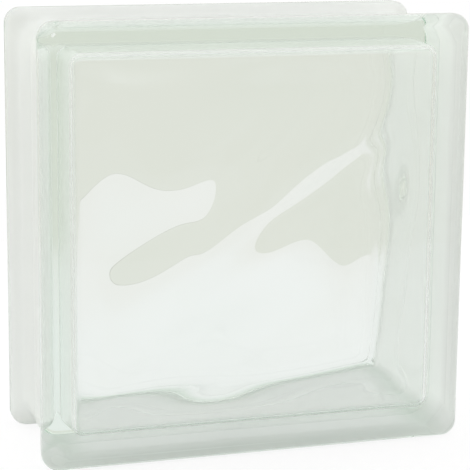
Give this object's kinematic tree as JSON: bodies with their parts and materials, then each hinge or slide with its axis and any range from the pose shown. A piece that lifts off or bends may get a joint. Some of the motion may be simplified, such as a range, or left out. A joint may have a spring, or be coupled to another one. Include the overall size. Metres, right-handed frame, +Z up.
{
  "type": "glass block",
  "caption": "Square hollow pressed-glass wall block with wavy inner faces, rolled face edges and a mortar channel round its sides, laid in mortar to build walls that pass light.",
  "frame": {"origin": "on the floor, under the middle of the block", "axes": "+Z up, +X to the right along the face, front face towards -Y"},
  "size_m": [0.19, 0.08, 0.19],
  "materials": {
    "glass": "clear pale green pressed glass, glossy faces, milky white matt sides"
  },
  "bodies": {
    "root": {"glass_block": "glass"}
  },
  "joints": []
}
